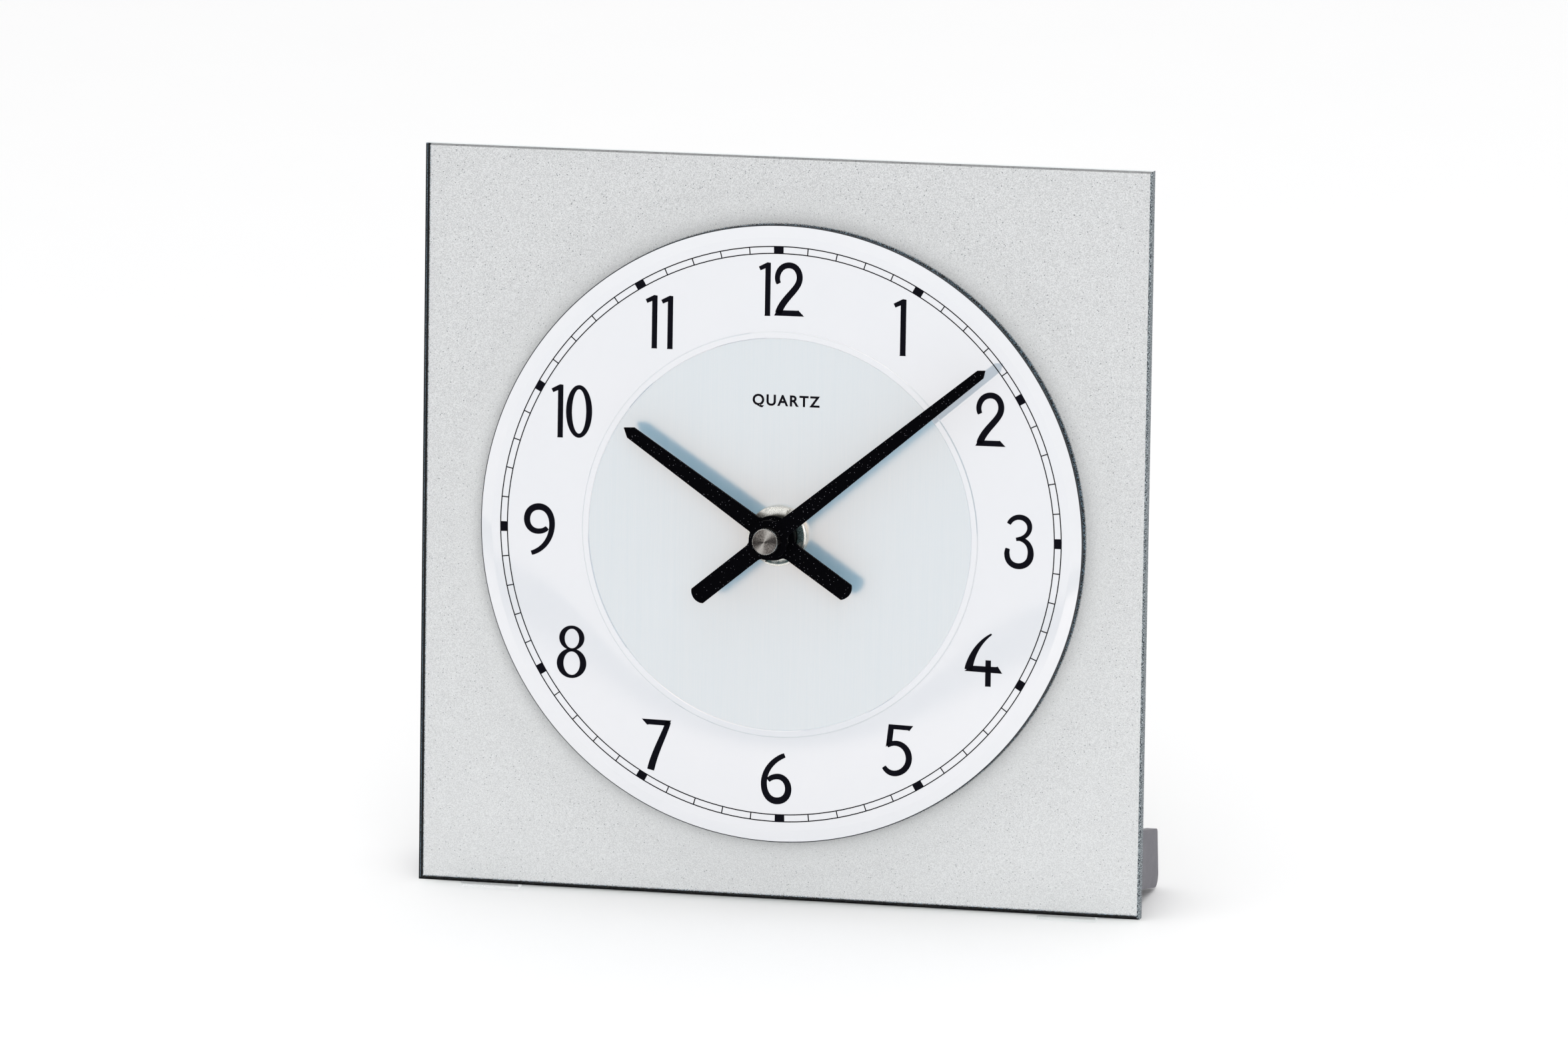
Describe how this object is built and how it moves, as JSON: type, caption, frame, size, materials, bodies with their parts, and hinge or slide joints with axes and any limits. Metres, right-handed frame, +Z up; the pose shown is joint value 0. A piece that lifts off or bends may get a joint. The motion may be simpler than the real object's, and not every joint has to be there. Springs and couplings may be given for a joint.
{
  "type": "table clock",
  "caption": "Square glass table clock leaning back on a bar foot, with a round aluminium dial, black pointed hands and a quartz movement behind.",
  "frame": {"origin": "on the table, under the middle of the clock's box", "axes": "+Z up, -Y towards the viewer of the dial, +X to the viewer's right; the hand axis leans 8.5 degrees from Y with the plate"},
  "size_m": [0.15, 0.0398, 0.1495],
  "materials": {
    "glass": "clear polished float glass",
    "silver_lacquer": "fine speckled silver lacquer seen through glass",
    "dial_print": "white lacquered aluminium with a brushed centre",
    "hand_black": "black powder coat",
    "nut_silver": "turned and plated steel",
    "cap_steel": "turned steel with a knurled edge",
    "brass": "turned brass",
    "case_plastic": "fine textured moulding",
    "wheel_plastic": "moulded acetal",
    "knob_plastic": "moulded knob",
    "magnet": "sintered magnet",
    "motor_steel": "stamped soft iron",
    "copper": "enamelled copper wire",
    "board": "phenolic board",
    "epoxy": "epoxy dome",
    "contact_steel": "nickel plated spring strip",
    "battery_jacket": "plain printed jacket",
    "foot_metal": "satin anodised",
    "cap_plastic": "fine textured moulding",
    "black_rubber": "rubber",
    "clear_rubber": "clear silicone",
    "foam_tape": "black foam tape"
  },
  "bodies": {
    "clock_body": {"glass_plate": "glass", "silver_coating": "silver_lacquer", "dial_adhesive": "foam_tape", "dial_disc": "dial_print", "centre_nut": "nut_silver", "rubber_washer": "black_rubber", "centre_bush": "brass", "front_case": "case_plastic", "train_bridge": "case_plastic", "rear_cover": "case_plastic", "stator": "motor_steel", "coil_core": "motor_steel", "coil_bobbin": "wheel_plastic", "coil_winding": "copper", "circuit_board": "board", "chip_blob": "epoxy", "quartz_crystal": "contact_steel", "positive_contact": "contact_steel", "negative_contact": "contact_steel", "foot_bar": "foot_metal", "foot_end_caps": "cap_plastic", "foot_tape": "foam_tape", "foot_pads": "black_rubber", "glass_edge_pads": "clear_rubber"},
    "minute_hand_group": {"minute_arbor": "brass", "minute_hand": "hand_black", "hand_nut": "cap_steel"},
    "hour_hand_group": {"hour_wheel": "wheel_plastic", "hour_hand": "hand_black"},
    "minute_wheel": {"minute_wheel": "wheel_plastic"},
    "setting_knob": {"setting_knob": "knob_plastic"},
    "seconds_wheel": {"seconds_wheel": "wheel_plastic"},
    "third_wheel": {"third_wheel": "wheel_plastic"},
    "centre_drive_wheel": {"centre_drive_wheel": "wheel_plastic"},
    "intermediate_wheel": {"intermediate_wheel": "wheel_plastic"},
    "rotor": {"rotor_shaft": "wheel_plastic", "rotor_magnet": "magnet"},
    "battery": {"battery": "battery_jacket"}
  },
  "joints": [
    {"name": "minute_spin", "type": "hinge", "parent": "clock_body", "child": "minute_hand_group", "pos_m": [0, 0.00289, 0.07299], "axis": [0, 0.989, -0.1478], "continuous": true},
    {"name": "hour_spin", "type": "hinge", "parent": "clock_body", "child": "hour_hand_group", "pos_m": [0, 0.00289, 0.07299], "axis": [0, 0.989, -0.1478], "continuous": true},
    {"name": "minute_wheel_spin", "type": "hinge", "parent": "clock_body", "child": "minute_wheel", "pos_m": [-0.01039, 0.00378, 0.07893], "axis": [0, 0.989, -0.1478], "continuous": true},
    {"name": "knob_spin", "type": "hinge", "parent": "clock_body", "child": "setting_knob", "pos_m": [-0.01248, 0.00552, 0.09061], "axis": [0, 0.989, -0.1478], "continuous": true},
    {"name": "seconds_spin", "type": "hinge", "parent": "clock_body", "child": "seconds_wheel", "pos_m": [0, 0.00289, 0.07299], "axis": [0, 0.989, -0.1478], "continuous": true},
    {"name": "third_spin", "type": "hinge", "parent": "clock_body", "child": "third_wheel", "pos_m": [0.0054, 0.00427, 0.08224], "axis": [0, 0.989, -0.1478], "continuous": true},
    {"name": "centre_drive_spin", "type": "hinge", "parent": "clock_body", "child": "centre_drive_wheel", "pos_m": [0, 0.00289, 0.07299], "axis": [0, 0.989, -0.1478], "continuous": true},
    {"name": "intermediate_spin", "type": "hinge", "parent": "clock_body", "child": "intermediate_wheel", "pos_m": [0.01015, 0.00234, 0.06934], "axis": [0, 0.989, -0.1478], "continuous": true},
    {"name": "rotor_spin", "type": "hinge", "parent": "clock_body", "child": "rotor", "pos_m": [0.01695, 0.00234, 0.06934], "axis": [0, 0.989, -0.1478], "continuous": true},
    {"name": "battery_slide", "type": "slide", "parent": "clock_body", "child": "battery", "axis": [0, 0.989, -0.1478], "range_m": [0, 0.022]}
  ],
  "couplings": [
    {"joint": "hour_spin", "follows": "minute_spin", "ratio": 0.083333},
    {"joint": "minute_wheel_spin", "follows": "minute_spin", "ratio": -0.33333},
    {"joint": "knob_spin", "follows": "minute_spin", "ratio": 1},
    {"joint": "third_spin", "follows": "seconds_spin", "ratio": -0.125},
    {"joint": "centre_drive_spin", "follows": "seconds_spin", "ratio": 0.016667},
    {"joint": "intermediate_spin", "follows": "seconds_spin", "ratio": -6},
    {"joint": "rotor_spin", "follows": "seconds_spin", "ratio": 30}
  ]
}
